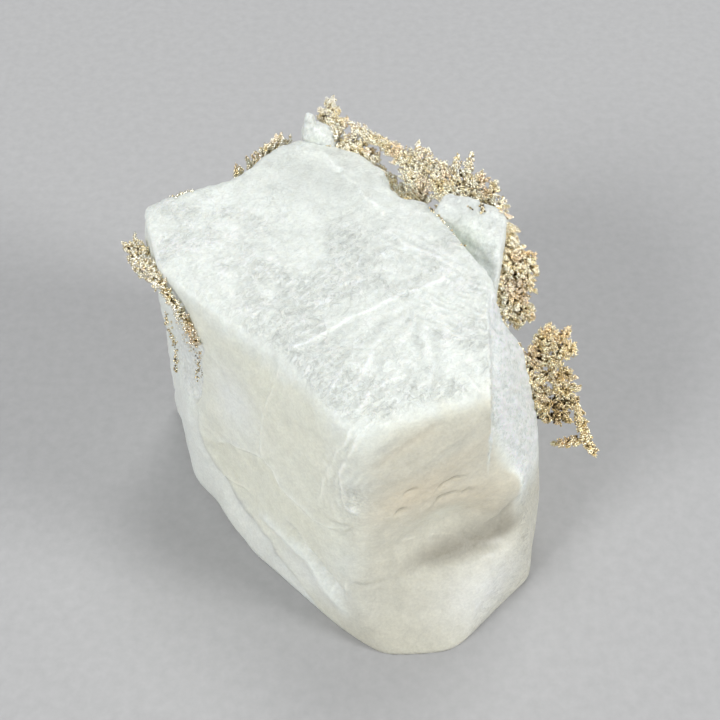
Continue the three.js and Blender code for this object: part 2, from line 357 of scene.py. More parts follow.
FLUTE = [
    (-8.1, -16.7, 11.2), (-6.8, -18.2, 11), (-5.6, -18.9, 9.6), (-4.3, -20.2, 8.7), (-3, -21.6, 7.6),
    (-1.8, -23, 6.7), (-0.9, -23.9, 5.6),
]
LOW_RIDGE = [
    (-11.5, -13, 6.9), (-9.8, -15.3, 8.3), (-8, -17.4, 8.3), (-5.6, -19.9, 7.6), (-3.9, -21.6, 6.2),
    (-2.2, -23.5, 4.4), (-0.7, -24.6, 2.7),
]
SPIKE = [(-1.4, -23.4, 8.8), (-1.4, -23.6, 6.3)]
TOE_LIP = [(-1.2, -23.4, 8.9), (0.4, -23.6, 8.7), (1.6, -23.4, 8.9), (3.4, -23, 9)]
TOE_LINE = [
    (4.7, -22.8, 8.5), (7.9, -21.6, 9.8), (11.1, -20.5, 10.5), (13.8, -20, 10.6), (15.8, -19.4, 10),
    (17.2, -17.7, 10.1),
]
STEPS = [
    [
        (0.9, 3.5, 32.8), (2.8, 4.2, 32.8), (4.6, 1.7, 32.8), (6.5, 0.9, 32.8), (8, -0.2, 32.8),
        (9, -1.5, 32.8),
    ],
    [(0.7, 0.1, 32.9), (3.6, 0.8, 32.8), (5.1, -0.9, 32.8), (6.4, -1.9, 32.9), (7.6, -3.2, 32.8)],
    [(5, -5, 32.7), (6.3, -5.4, 32.7), (7.2, -6.8, 32.7), (8.8, -7.5, 32.8)],
    [(5.9, -6.2, 32.7), (7.4, -8.8, 32.8), (8.8, -10.2, 32.7), (10.5, -11.1, 32.6)],
]
NICK = [(9.6, -14.9, 32.4), (10.7, -15.9, 31.9), (11.9, -16.4, 31)]
NICK_BEHIND = [(2, -17.1, 32.8), (3.4, -16, 32.8), (4.8, -15.1, 32.6)]
FAN = [
    [(-3.3, -18.5, 32.9), (-1.6, -15.6, 32.9), (-0.9, -13.3, 32.9)],
    [(-1.6, -19, 32.9), (0.2, -15.6, 32.9), (1.2, -12.5, 32.9)],
    [(-0.2, -19.5, 32.9), (1.8, -15.8, 32.9), (3.2, -13.1, 32.9)],
]
LIP = [
    (10.2, -19, 11.9), (11.3, -18.6, 11.6), (12.7, -18.2, 12), (14.1, -17.6, 12.9), (15.3, -17.6, 14.9),
    (16.9, -16.4, 15.5),
]
LIP_LEFT = [
    (3.9, -21.5, 13.8), (5.1, -20.8, 13.1), (6.7, -20, 12.5), (8.1, -19.5, 12.2), (9.9, -19.1, 11.6),
]
DARK_BAND = [(0.4, -22.4, 26), (3, -21.4, 27.6), (5.7, -20.2, 28.9), (8.3, -18.8, 30.2)]
LIGHT_BAND = [(2.2, -21.8, 23.7), (5.8, -20.3, 25.2), (9, -18.9, 27.3), (11.7, -17.3, 28.1)]
SHADE = [
    (4.4, -22.4, 9.9), (7.9, -20.9, 10), (10.2, -20.2, 10.2), (12.7, -19.3, 10.5), (15.4, -18.2, 10.8),
    (17.4, -16.8, 11.4),
]
SHOULDER_EDGE = [
    (12.7, -9, 32.6), (12.7, -13, 31.9), (12.7, -16, 30), (12.6, -17.4, 27), (12.9, -18, 24.4),
    (14.4, -18, 21.3),
]
VEIN_EDGE = [
    (-20.3, -1.2, 32.4), (-19, -3, 31.9), (-17.9, -4.6, 31.2), (-17, -5.7, 30), (-16.3, -6.5, 28.6),
    (-15.6, -7.2, 27.2), (-16.1, -6.9, 24.9), (-16.5, -6.6, 22), (-17, -6.2, 18.6), (-18, -5, 14.5),
]

# low steps: line, the side that stands higher, step, fade, height and width of the line along
# the step, and how much of the line's length its ends take to fade
FOLDS = [
    (CORNER_CRACK, (1, -0.2, -0.3), 0.18, 1.2, 0.12, 0.2, 0.1),
    (OUTER_CRACK, (1, -0.4, 0), 0.1, 1.4, 0.09, 0.2, 0.15),
    (CORNER_FOLD, (1, 0, 0), 0.18, 1.2, -0.1, 0.25, 0.15),
    (LONG_ARC, (0, 0, 1), 0.16, 1.5, 0.14, 0.2, 0.12),
    (SIDE_ARC, (1, -1, 0), 0.16, 1.8, 0.08, 0.25, 0.12),
    (LOW_FOLD, (0.7, -0.3, 0.6), 0.38, 1.5, -0.16, 0.24, 0.06),
    (LOW_LIP, (0, 0, 1), 0.16, 1, 0.15, 0.18, 0.15),
    (STEPS[0], (0.3, 0.9, 0), 0.07, 1, 0.07, 0.25, 0.25),
    (STEPS[1], (0.3, 0.9, 0), 0.07, 1, 0.07, 0.25, 0.25),
    (STEPS[2], (0.3, 0.9, 0), 0.06, 1, 0.07, 0.22, 0.25),
    (STEPS[3], (0.3, 0.9, 0), 0.07, 1, 0.08, 0.25, 0.25),
    (FAN[0], (-0.8, 0.5, 0), 0.04, 0.8, 0.07, 0.25, 0.3),
    (FAN[1], (-0.8, 0.5, 0), 0.06, 0.8, 0.09, 0.25, 0.3),
    (FAN[2], (-0.8, 0.5, 0), 0.04, 0.8, 0.07, 0.25, 0.3),
    (LIP, (0, 0, 1), 0.16, 1, 0.08, 0.2, 0.15),
    (LIP_LEFT, (0, 0, 1), 0.12, 0.9, 0.09, 0.2, 0.25),
    (NICK, (-0.7, -0.7, 0.3), 0.16, 0.7, 0.08, 0.22, 0.25),
    (NICK_BEHIND, (-0.5, 0.8, 0), 0.09, 0.7, 0.1, 0.22, 0.25),
    (SPIKE, (-1, 0, 0), 0.04, 0.6, 0.15, 0.2, 0.2),
    (TOE_LIP, (0, 0, 1), 0.14, 0.9, -0.06, 0.2, 0.2),
]

# troughs (and, below nothing, ridges): line, a side, depth, reach on that side and on the other
TROUGHS = [
    (FLUTE, (0.6, 0, 0.8), 1.15, 0.45, 1.3, 0.25),
    (LOW_RIDGE, (0.6, 0, 0.8), -0.45, 0.9, 0.9, 0.25),
    (TOE_LINE, (0, 0, 1), 0.8, 2.4, 0.9, 0.2),
    (DARK_BAND, (0, 0, 1), 0.22, 0.8, 0.8, 0.25),
    (LIGHT_BAND, (0, 0, 1), -0.18, 0.9, 0.9, 0.25),
]

# pits over the lip: place, half width and depth
PITS = [
    (8.9, -19.2, 21.2, 1, 0.4), (8.6, -19.4, 18.9, 1.2, 0.3), (10.6, -18.7, 18.8, 0.6, 0.2),
    (4.8, -20.8, 21.8, 0.55, 0.26), (4, -21.3, 19.2, 0.55, 0.32),
]

# single dents (and, below nothing, knobs): centre, radii, depth
DENTS = [
    ((-6.6, -12.5, 31.9), (0.45, 0.3, 0.8), 0.45),  # the fracture's left end
    ((-5.2, -11.7, 32.1), (0.4, 0.25, 0.8), 0.2),
    ((8.9, -2.7, 32.7), (0.3, 0.22, 0.8), 0.22),  # its right end
    ((-2.2, 13.4, 32.4), (0.3, 0.3, 0.8), 0.4),  # on the crease
    ((-9.2, -16.1, 3), (0.7, 0.7, 0.5), -0.35),  # on the left foot
    ((-0.7, -22.4, 22.4), (0.9, 0.9, 1.2), 0.35),  # the front corner
    ((-0.9, -22.5, 20), (0.6, 0.7, 0.45), -0.34),
    ((-1.4, -22.4, 19.2), (0.8, 0.8, 1.2), 0.3),
]


def across(away, side):
    return away @ (np.asarray(side, dtype=float) / norm(side))


def back_facet(p):
    """1 on the sloping facet behind the apex crease."""
    d = p @ BLOCK_FACES[:2, :3].T - BLOCK_FACES[:2, 3]
    return smooth(d[:, 1] - d[:, 0], 0, 0.25) * smooth(p[:, 2], TOP - 3, TOP - 2)


def vein_strip(p, n):
    """The lower, rough strip on the outer side of the silver vein."""
    near, where, away = stroke(p, VEIN_EDGE)
    x, y, z = p.T
    strip = smooth(-across(away, (0.69, -0.73, 0)), -0.05, 0.3) * smooth(0.7 - n[:, 2], 0, 0.3)
    strip *= smooth(z, 13.5, 17) * smooth(32.6 - z, 0, 1)
    return strip * smooth(-x, 12, 14) * smooth(-y, -4, -1)


def ridge(x, width):
    return np.exp(-((x / width) ** 2))


def step_at(near, away, side, sharp, fade):
    """From -1 to 1 across a line, fading away from it."""
    return np.tanh(across(away, side) / sharp) * np.exp(-near / fade)


def in_bands(p):
    """Places drawn out along bands that rise to the right across the right front."""
    x, y, z = p.T
    return np.stack([x * 0.22, y * 0.22, z - 0.42 * x], 1)


class Relief:
    """How far the block's skin stands out of its plain faces, in mm."""

    def __init__(self, p, n):
        self.p, self.n = p, n
        # the same places moved a little, so that what is drawn by them wavers
        self.w = p + 0.35 * np.stack([noise(p, 2.6, s) for s in (3, 4, 5)], 1)
        self.w += 0.12 * np.stack([noise(p, 0.9, s) for s in (6, 7, 8)], 1)
        self.flat_top = smooth(n[:, 2], 0.8, 0.97)
        self.fronts = smooth(-n[:, 1], 0.3, 0.6)
        self.broad = np.zeros(len(p))  # swellings, steps and hollows
        # the fine relief is also painted into the colour: painted light on its crests and painted shade in
        # its hollows
        self.fine = np.zeros(len(p))  # wrinkles and crests, which show in the colour too
        self.line = np.full(len(p), 5.0)  # distance to the nearest crack, below 0 on its low side
        # the strength of the painted lit lip and painted shade along the nearest crack
        self.mark = np.zeros(len(p))  # how clear that crack is

    # keeps the nearest crack, whose lit lip and shade beside it are painted into the colour
    def draw(self, near, away, side, clear):
        closer = near < np.abs(self.line)
        self.line[closer] = np.where(across(away, side) > 0, near, -near)[closer]
        self.mark[closer] = clear[closer]


def swell(r):
    """Broad swellings, and soft bands across the right front."""
    r.broad += 0.18 * noise(r.p, 8.0, 11) + 0.09 * noise(r.p, 3.4, 12)
    r.broad += 0.12 * r.fronts * noise(r.p * [1, 1, 0.7], 5.0, 13)
    bands = in_bands(r.p)
    right = r.fronts * smooth(r.p[:, 0], -1, 3)
    r.broad += right * (0.10 * noise(bands, 2.6, 14) + 0.06 * noise(bands, 1.1, 15))
    r.fine += 0.03 * r.fronts * noise(r.w, 1.1, 16)


def wrinkle(r):
    """Wrinkles etched into the upper face, a little drawn out along one diagonal."""
    along = r.p[:, :2] @ [0.62, 0.78]
    over = r.p[:, :2] @ [-0.78, 0.62]
    q = np.stack([along * 0.62, over, r.p[:, 2]], 1)
    calm = 1 - 0.85 * blob(r.p, (-4, 10.5, TOP), (7.5, 6.5, 9))
    rough = 0.6 + 0.9 * smooth(noise(r.p, 4.5, 22), -0.3, 0.5)
    creases = 0.30 - np.abs(noise(q, 1.15, 25))
    wrinkles = rough * (0.045 * noise(q, 0.7, 21) + 0.060 * creases)
    r.fine += r.flat_top * calm * (wrinkles + 0.04 * noise(r.p, 1.9, 23))


def terrace(r):
    """Parallel steps by the right edge."""
    d = 2 * math.pi * (r.w[:, :2] @ [0.56, 0.83])
    waver = 1.5 * noise(r.p, 1.5, 61)
    here = blob(r.p, (10.2, -5.6, TOP), (4.2, 4.4, 4)) * (0.75 + 0.4 * noise(r.p, 2, 27))
    here *= smooth(noise(r.p, 1.7, 60), -0.6, 0.2) * r.flat_top
    r.fine += 0.080 * here * np.sin(d / 0.78 + waver)
    here = blob(r.p, (7, 1.5, TOP), (5, 3.4, 4)) * smooth(noise(r.p, 2.1, 62), -0.2, 0.4)
    r.fine += 0.055 * here * r.flat_top * np.sin(d / 1.05 + waver)


def fan_out(r):
    """Ridges that fan out below the fracture."""
    fan = r.w[:, :2] - [6.8, -3.2]
    far = norm(fan, axis=1)
    angle = np.arctan2(fan[:, 1], fan[:, 0])
    here = smooth(far, 3.5, 6.5) * smooth(16 - far, 0, 5) * r.flat_top
    here *= smooth(-angle, 1.0, 1.4) * smooth(angle + 2.75, 0, 0.4)
    here *= 0.55 + 0.55 * noise(r.p, 2.4, 26)
    r.fine += 0.075 * here * np.sin(angle * 26 + 4.0 * noise(r.p, 3.2, 24))


def fracture(r):
    """A low ridge, painted lighter along its crest, with a painted lit lip and shade beside it."""
    side = (-0.5, 0.85, 0)
    near, where, away = on_skin(r.w, r.n, FRACTURE)
    clear = taper(where, 0.03) * smooth(r.n[:, 2], 0.3, 0.7)
    r.draw(near, away, side, clear * (0.60 + 0.5 * noise(r.p, 1.3, 70)))
    here = taper(where, 0.06) * r.flat_top
    r.fine += 0.08 * here * ridge(near, 0.20)
    r.broad += 0.14 * here * step_at(near, away, side, 0.2, 1.6)


def crease(r):
    """The broken line in front of the sloping facet, and that facet's own lumps."""
    side = (0.8, 0.6, 0)
    near, where, away = on_skin(r.w, r.n, CREASE)
    here = taper(where, 0.1)
    r.draw(near, away, side, 0.5 * here * smooth(noise(r.p, 1.3, 67), -0.4, 0.3))
    broken = 0.04 + 0.08 * smooth(noise(r.p, 1.0, 57), -0.1, 0.4)
    r.fine += here * broken * ridge(near, 0.22)
    r.broad += 0.16 * here * step_at(near, away, side, 0.25, 1.4)
    r.fine += 0.06 * back_facet(r.p) * (noise(r.p, 0.9, 58) + noise(r.p, 1.8, 59))


def fold(r):
    """Cracks, folds and flutes, mostly of the fronts."""
    broken = smooth(noise(r.p, 2.3, 66), -0.7, -0.1)
    for points, side, step, fade, height, width, ends in FOLDS:
        near, where, away = on_skin(r.w, r.n, points)
        here = taper(where, ends) * broken
        r.draw(near, away, side, here * (5 - r.flat_top) * height)
        r.broad += step * here * step_at(near, away, side, 0.22, fade)
        r.fine += height * here * ridge(near, width)
    for points, side, depth, reach, other, ends in TROUGHS:
        near, where, away = on_skin(r.w, r.n, points)
        wide = np.where(across(away, side) > 0, reach, other)
        r.broad -= depth * taper(where, ends) * np.exp(-((near / wide) ** 1.6))


def shell(r):
    """Shell-shaped break on the front corner."""
    far = norm((r.w - [2.4, -21.5, 22.5]) * [1, 1, 0.62], axis=1)
    here = blob(r.p, (-1.8, -21.8, 24), (2.2, 2.4, 6)) * (0.5 + 0.8 * noise(r.p, 1.8, 28))
    r.fine += 0.08 * here * np.sin(2 * math.pi * far / 0.75 + 2 * noise(r.p, 1.6, 29))


def pit(r):
    """Bow-shaped pits, the wall below the lip, and single dents and knobs."""
    near, where, away = stroke(r.w, LIP)
    r.broad -= 0.42 * taper(where, 0.15) * smooth(-away[:, 2], -0.1, 0.5) * np.exp(-near / 2.4)
    for x, y, z, size, deep in PITS:
        across_it, out, up = (r.w - [x, y, z]).T
        bow = up + 0.45 * across_it**2 / size - 0.35 * across_it
        here = ridge(across_it, size) * ridge(out, 1.5)
        r.fine -= 0.9 * deep * here * ridge(bow, 0.20)
        r.draw(np.abs(bow) + 5 * (here < 0.2), bow[:, None] * [0, 0, 1], (0, 0, 1), 1.6 * here)
        r.broad -= 0.5 * deep * blob(r.w, (x, y, z - 0.45), (size, 1.5, 0.55))
    for centre, radius, depth in DENTS:
        r.broad -= depth * blob(r.p, centre, radius)


def roughen(r):
    """The right shoulder past its crisp step, the strip behind the vein and the back edges."""
    p = r.p
    x, y, z = p.T
    near, where, away = stroke(r.w, SHOULDER_EDGE)
    r.fine += 0.04 * smooth(where, 0, 0.05) * smooth(1 - where, 0.2, 0.75) * ridge(near, 0.22)
    rough = smooth(r.n[:, 0], 0.62, 0.82) * smooth(z, 13, 20)
    slant = np.stack([x, y + 0.7 * z, 0.35 * z], 1)
    r.fine += rough * (0.05 * noise(p, 0.7, 31) + 0.16 * noise(slant, 0.8, 32))
    r.broad -= vein_strip(r.w, r.n) * (0.60 + 0.16 * noise(p, 0.7, 33))
    sides = smooth(0.6 - r.n[:, 2], 0, 0.3) * smooth(y, -1, 4)
    r.broad += sides * (0.20 * noise(p, 1.5, 41) + 0.30 * noise(p, 3.6, 42))
    behind = smooth(y, 2, 8) * (1 - r.flat_top)
    r.broad += 0.20 * behind * noise(p * [1, 1, 0.4], 1.2, 43)


def block_relief(p, n):
    """The height over the plain faces, its fine part, and the lines and their marks."""
    r = Relief(p, n)
    for wear in (swell, wrinkle, terrace, fan_out, fracture, crease, fold, shell, pit, roughen):
        wear(r)
    foot = smooth(p[:, 2], 0.0, 0.8)  # the foot stays flat
    return (r.broad + r.fine) * foot, r.fine * foot, r.line, r.mark


# ---- Materials ----


def nodes_of(name):
    material = bpy.data.materials.new(name)
    material.use_nodes = True
    tree = material.node_tree
    return material, tree, tree.nodes["Principled BSDF"]


def feed(tree, node, inputs):
    for key, value in inputs.items():
        if isinstance(value, bpy.types.NodeSocket):
            tree.links.new(value, node.inputs[key])
        else:
            node.inputs[key].default_value = value


def add(tree, kind, inputs=None, output=0, **settings):
    """A new node with these inputs, as the output that is used."""
    node = tree.nodes.new(kind)
    for key, value in settings.items():
        setattr(node, key, value)
    feed(tree, node, inputs or {})
    return node.outputs[output]


def attribute(tree, name, output="Fac"):
    return add(tree, "ShaderNodeAttribute", output=output, attribute_name=name)


def fine_noise(tree, per_mm, detail=4.0, rough=0.55, stretch=(1, 1, 1), turn=0.0, distortion=0.0):
    """Noise with this many features a millimetre in the piece's own frame."""
    place = add(tree, "ShaderNodeTexCoord", output="Object")
    if turn:
        inputs = {"Vector": place, "Angle": turn}
        place = add(tree, "ShaderNodeVectorRotate", inputs, rotation_type="Z_AXIS")
    scale = [1000 * per_mm * s for s in stretch]
    scaled = add(tree, "ShaderNodeMapping", {"Vector": place, "Scale": scale})
    inputs = {"Vector": scaled, "Scale": 1.0, "Detail": detail, "Roughness": rough}
    inputs["Distortion"] = distortion
    return add(tree, "ShaderNodeTexNoise", inputs, "Fac")


def remap(tree, value, low, high, to_low, to_high):
    inputs = {"Value": value, "From Min": low, "From Max": high, "To Min": to_low, "To Max": to_high}
    return add(tree, "ShaderNodeMapRange", inputs)


def times(tree, a, b, plus=0.0):
    return add(tree, "ShaderNodeMath", {0: a, 1: b, 2: plus}, operation="MULTIPLY_ADD")


def apart(tree, value, middle):
    off = add(tree, "ShaderNodeMath", {0: value, 1: middle}, operation="SUBTRACT")
    return add(tree, "ShaderNodeMath", {0: off}, operation="ABSOLUTE")


def tinted(tree, colour, factor):
    return add(tree, "ShaderNodeVectorMath", {0: colour, 1: factor}, operation="MULTIPLY")


def bump(tree, height, strength, distance, **over):
    inputs = {"Height": height, "Strength": strength, "Distance": distance, **over}
    return add(tree, "ShaderNodeBump", inputs)


def stone_colour(tree, etch, sugar, lift):
    """The skin's tone with its mottling, painted light on the web's crests and shade in its dimples,
    painted glints, painted lit curls with shade beside them, and a painted lit lip and shade along the
    cracks.
    """
    veil = remap(tree, fine_noise(tree, 0.16, 5, 0.6), 0.3, 0.7, 0.96, 1.03)
    mottle = remap(tree, fine_noise(tree, 0.8, 5, 0.65), 0.3, 0.7, 0.97, 1.03)
    grain = remap(tree, fine_noise(tree, 3.2, 3, 0.6), 0.3, 0.7, -0.5, 0.5)
    speck = times(tree, mottle, times(tree, grain, times(tree, sugar, 0.20, 0.08), 1.0))
    # painted glints: tiny bright dots where a fine noise peaks, where the skin is etched
    painted_glint = remap(tree, fine_noise(tree, 4.5, 2, 0.5), 0.60, 0.72, 0.0, 0.09)
    # painted light on the web's crests and painted shade in its dimples
    bright = times(tree, remap(tree, lift, 0.3, 0.75, -0.08, 0.08), etch, 1.0)
    bright = times(tree, painted_glint, etch, bright)
    # thin lit curls, each with a thin shade beside it
    curl = fine_noise(tree, 1.1, 2, 0.5, stretch=(0.7, 1, 1), turn=-0.85, distortion=1.3)
    lit = remap(tree, apart(tree, curl, 0.52), 0.0, 0.04, 0.14, 0.0)
    shade = remap(tree, apart(tree, curl, 0.44), 0.0, 0.05, -0.16, 0.0)
    bright = times(tree, lit, etch, times(tree, shade, etch, bright))
    # cracks and folds: a thin lit lip and a thin shade beside it
    line = attribute(tree, "line")
    lit = remap(tree, apart(tree, line, 0.06), 0.0, 0.14, 0.10, 0.0)
    shade = remap(tree, apart(tree, line, -0.18), 0.0, 0.22, -0.11, 0.0)
    both = add(tree, "ShaderNodeMath", {0: lit, 1: shade}, operation="ADD")
    lip = times(tree, both, attribute(tree, "mark"), 1.0)
    factor = times(tree, times(tree, times(tree, veil, speck), bright), lip)
    return tinted(tree, attribute(tree, "tone", "Color"), factor)


def stone_material():
    material, tree, shader = nodes_of("calcite")
    sugar = attribute(tree, "sugar")
    etch = attribute(tree, "etch")
    # fine streaks with thin crests between shallow dimples, as bumps here and, in the colour, as painted
    # light on the crests and painted shade in the dimples
    web = fine_noise(tree, 2.3, 6, 0.70, stretch=(0.48, 1, 1), turn=-0.85, distortion=0.35)
    crest = remap(tree, apart(tree, web, 0.5), 0.0, 0.05, 1.0, 0.0)
    lift = times(tree, web, 1.0, times(tree, crest, 0.12))
    etched = bump(tree, lift, times(tree, etch, 1.0), 0.00028)
    gritty = fine_noise(tree, 3.4, 3, 0.65)
    feed(tree, shader, {
        "Base Color": stone_colour(tree, etch, sugar, lift),
        "Roughness": remap(tree, fine_noise(tree, 0.9, 4, 0.6), 0.3, 0.7, 0.30, 0.46),
        "IOR": 1.55,
        "Specular IOR Level": 0.5,
        "Subsurface Weight": 0.65,
        "Subsurface Radius": (1.0, 0.92, 0.80),
        "Subsurface Scale": 0.0005,
        "Normal": bump(tree, gritty, times(tree, sugar, 0.9), 0.00022, Normal=etched),
    })
    return material


def silver_material():
    material, tree, shader = nodes_of("silver")
    fleck = remap(tree, fine_noise(tree, 4.0, 3, 0.6), 0.35, 0.65, 0.84, 1.18)
    feed(tree, shader, {
        "Base Color": tinted(tree, attribute(tree, "tint", "Color"), fleck),
        "Metallic": 0.92,
        "Roughness": attribute(tree, "dull"),
        "Normal": bump(tree, fine_noise(tree, 5.0, 2, 0.6), 0.35, 0.00006),
    })
    return material


def floor_material():
    material, tree, shader = nodes_of("studio_floor")
    grain = remap(tree, fine_noise(tree, 0.8, 3, 0.6), 0.3, 0.7, 0.43, 0.47)
    colour = add(tree, "ShaderNodeCombineColor", {"Red": grain, "Green": grain, "Blue": grain})
    feed(tree, shader, {"Base Color": colour, "Roughness": 0.85})
    return material


STONE = stone_material()
SILVER = silver_material()

# ---- The stone ----


def over_edge(p):
    """How far past the upper face's front edge, in mm, with the edge taken to wander."""
    fronts = BLOCK_FACES[[2, 3, 10, 11]]
    below = BLOCK_FACES[0, 3] - p @ BLOCK_FACES[0, :3]
    behind = (fronts[:, 3] - p @ fronts[:, :3].T).min(1)
    return below - behind + 1.2 * noise(p, 3.4, 52) + 0.6 * noise(p, 1.2, 53)


COOL = np.array([0.790, 0.825, 0.775])
IVORY = np.array([0.785, 0.790, 0.675])
WARM = np.array([0.645, 0.630, 0.530])
BEIGE = np.array([0.700, 0.622, 0.468])
PAINTED_SHADE = np.array([0.390, 0.368, 0.300])
FROST = np.array([0.785, 0.810, 0.770])
CLEAN = np.array([0.820, 0.830, 0.785])
SNOW = np.array([0.940, 1.0, 0.945])


class Coat:
    """The stone's colour, laid on in coats."""

    def __init__(self, p, colour):
        self.p = p
        self.tone = np.tile(colour, (len(p), 1))

    def lay(self, colour, weight):
        self.tone = self.tone + (colour - self.tone) * np.clip(weight, 0, 1)[:, None]

    def patch(self, colour, weight, centre, radius):
        self.lay(colour, weight * blob(self.p, centre, radius))


def tone_top(coat):
    coat.patch(COOL * 0.84, 0.85, (-4.5, 12, TOP), (6, 6, 9))
    coat.lay(COOL, 0.9 * back_facet(coat.p))
    coat.patch(COOL * 1.05, 0.9, (9.5, -2.5, TOP), (4.5, 5, 4))
    coat.patch(COOL * 1.07, 0.9, (-16, 3, TOP), (8, 7, 9))


def tone_fronts(coat, upright):
    """Warmer down the fronts, most of all in the bands of the right one."""
    p = coat.p
    x, y, z = p.T
    over = smooth(over_edge(p), -0.8, 3.0)
    coat.lay(IVORY, over * smooth(-y, 2, 9) * (0.875 + 0.125 * noise(p, 5.5, 51)))
    coat.lay(WARM, over * smooth(x - 0.35 * y, 5, 10) * smooth(32.5 - z, 0, 4))
    # a warmer, darker tone on the low front's upright faces: partly the stone's warm colour, partly
    # painted shade on faces that stand upright
    coat.patch(WARM * 0.96, upright, (2, -25, 4), (7, 5, 5))
    coat.patch(FROST * 1.06, 0.9, (-13.2, -10.3, 22), (3.2, 4, 5))
    coat.patch(COOL * 1.02, 0.7, (-1.6, -23.2, 11), (2.2, 2, 3.5))
    # a yellower tongue under the long arc
    near, where, away = stroke(p, LONG_ARC)
    under = smooth(-away[:, 2], -0.1, 0.4) * smooth(-x, 3, 7)
    coat.lay(IVORY * [0.96, 0.955, 0.93], 0.8 * under * np.exp(-near / 3))
    band = 0.5 + 0.9 * noise(in_bands(p), 2.6, 14)
    coat.patch(BEIGE, 0.85 * (0.45 + 0.55 * band), (6.0, -20.4, 20.5), (5.5, 4, 3.4))
    coat.patch(BEIGE, 0.55, (12, -18, 17.2), (4, 4, 2.6))
    coat.patch(BEIGE, 0.40, (13.6, -18, 14.2), (2.8, 3, 1.3))
    coat.patch(BEIGE, 0.30 * band, (9, -19, 25), (4, 4, 3))
    near, where, away = stroke(p, DARK_BAND)
    coat.lay(BEIGE, 0.32 * taper(where, 0.3) * ridge(near, 0.9))


def tone_toe(coat, n, upright):
    """Darker on the left's upright faces, partly painted shade; clean white on the right; and painted
    shade on the wall above the crease.
    """
    # partly the stone's warm colour, partly painted shade on the upright faces
    coat.patch(WARM * 0.90, upright, (2.5, -24, 5), (5, 6, 6))
    coat.patch(CLEAN, 0.95, (13.2, -21.8, 5), (5.5, 5, 4.6))
    # painted shade on the undercut wall above the toe's crease, widening to the right
    near, where, away = on_skin(coat.p, n, SHADE)
    wide = np.where(away[:, 2] > 0, 1.5 + 2.0 * where, 1.1)
    within_ends = smooth(where, -0.15, 0.35) * smooth(1.06 - where, 0, 0.2)
    coat.lay(PAINTED_SHADE * 0.95, within_ends * ridge(near, wide))
    coat.patch(IVORY * 1.05, 0.7, (8.4, -19.1, 14.9), (1.7, 3, 1.2))


def tone_corner(coat, n):
    """The front corner, and the left foot below its fold, with painted shade along the fold and the flute
    and painted light along the low ridge.
    """
    p = coat.p
    x, y, z = p.T
    coat.patch(COOL, 0.55, (-1.2, -22.4, 24), (2.4, 3, 6))
    coat.patch(COOL * 0.96, 0.6, (0.2, -21.6, 30.5), (3.0, 3, 2.6))
    near, where, away = stroke(p, LOW_FOLD)
    outer = smooth(-across(away, (0.7, -0.3, 0.6)), -0.3, 0.5)
    coat.lay(FROST, 0.75 * smooth(-x, 1, 4) * outer * smooth(15 - z, 0, 3))
    coat.patch(FROST, 0.8, (-5, -20.5, 5.5), (6, 6, 3))
    # painted shade in the low fold's and the flute's valleys, painted light along the low ridge, and a
    # cooler tone along the long arc
    for points, colour, weight, width in (
        (LOW_FOLD, FROST * 0.78, 0.80, 0.7),
        (LOW_RIDGE, COOL * 1.06, 0.75, 0.9),
        (FLUTE, FROST * 0.76, 0.90, 0.6),
        (LONG_ARC, COOL * 0.99, 0.35, 0.7),
    ):
        near, where, away = on_skin(p, n, points)
        coat.lay(colour, weight * taper(where, 0.2) * ridge(near, width))
    coat.patch(COOL * 1.14, 0.9, (-0.9, -22.5, 20.0), (0.7, 0.9, 0.6))


def block_tone(p, n, fine):
    x, y, z = p.T
    strip = vein_strip(p, n)
    upright = smooth(0.85 - n[:, 2], 0, 0.5)
    coat = Coat(p, COOL)
    tone_top(coat)
    tone_fronts(coat, upright)
    tone_toe(coat, n, upright)
    tone_corner(coat, n)
    coat.lay(FROST * 0.99, strip)
    shoulder = smooth(n[:, 0], 0.5, 0.8) * smooth(z, 10, 18)
    coat.lay(SNOW, 0.97 * shoulder * smooth(x + 0.5 * noise(p, 2.0, 68), 12.2, 13.2))
    edge = rim(p, BLOCK_FACES) * smooth(y, -6, 0)
    patches = 0.028 * noise(p, 2.2, 63) + 0.022 * noise(p, 1.0, 64)
    patches += strip * 0.10 * noise(p, 0.5, 65)
    # painted light on the crests of the fine relief and painted shade in its hollows and pits, brighter
    # along the edges, and random patches
    return coat.tone * (1 + 0.17 * np.tanh(fine / 0.11) + 0.05 * edge + patches)[:, None]


def block_etch(p, n):
    """How wrinkled the skin is: fully on the upper face, barely on the fronts."""
    top = smooth(n[:, 2], 0.6, 0.95) * (1 - 0.8 * blob(p, (-4, 10.5, TOP), (8, 7, 9)))
    top *= 0.35 + 0.65 * smooth(noise(p, 4.5, 22) + 0.5 * noise(p, 2.0, 56), -0.3, 0.4)
    return np.clip(0.2 + top + 0.8 * smooth(n[:, 0], 0.6, 0.8), 0, 1)


def block_sugar(p, n):
    strip = vein_strip(p, n)
    shoulder = smooth(n[:, 0], 0.6, 0.8) * smooth(p[:, 2], 13, 20)
    corner = blob(p, (-0.9, -22.3, 21.5), (1.6, 1.5, 2.6))
    back = 0.5 * smooth(p[:, 1], 2, 8) * smooth(0.6 - n[:, 2], 0, 0.3)
    return np.clip(0.15 + strip + shoulder + corner + back, 0, 1)


def make_block():
    net, faces = sphere_net(99)
    net = net + np.array([0, -0.2, 0.36])  # more of the net to the top and the fronts
    net /= norm(net, axis=1)[:, None]
    p, n = skin(block_level, (-1, -4.5, 18), 70, net)
    h, fine, line, mark = block_relief(p, n)
    q = p + n * h[:, None]
    q[:, 2] = np.maximum(q[:, 2], 0)
    fields = {"tone": block_tone(p, n, fine), "sugar": block_sugar(p, n),
              "etch": block_etch(p, n), "line": line, "mark": mark}
    make_piece("calcite_block_skin", q, faces, STONE, "calcite_block", fields)
    return q, faces


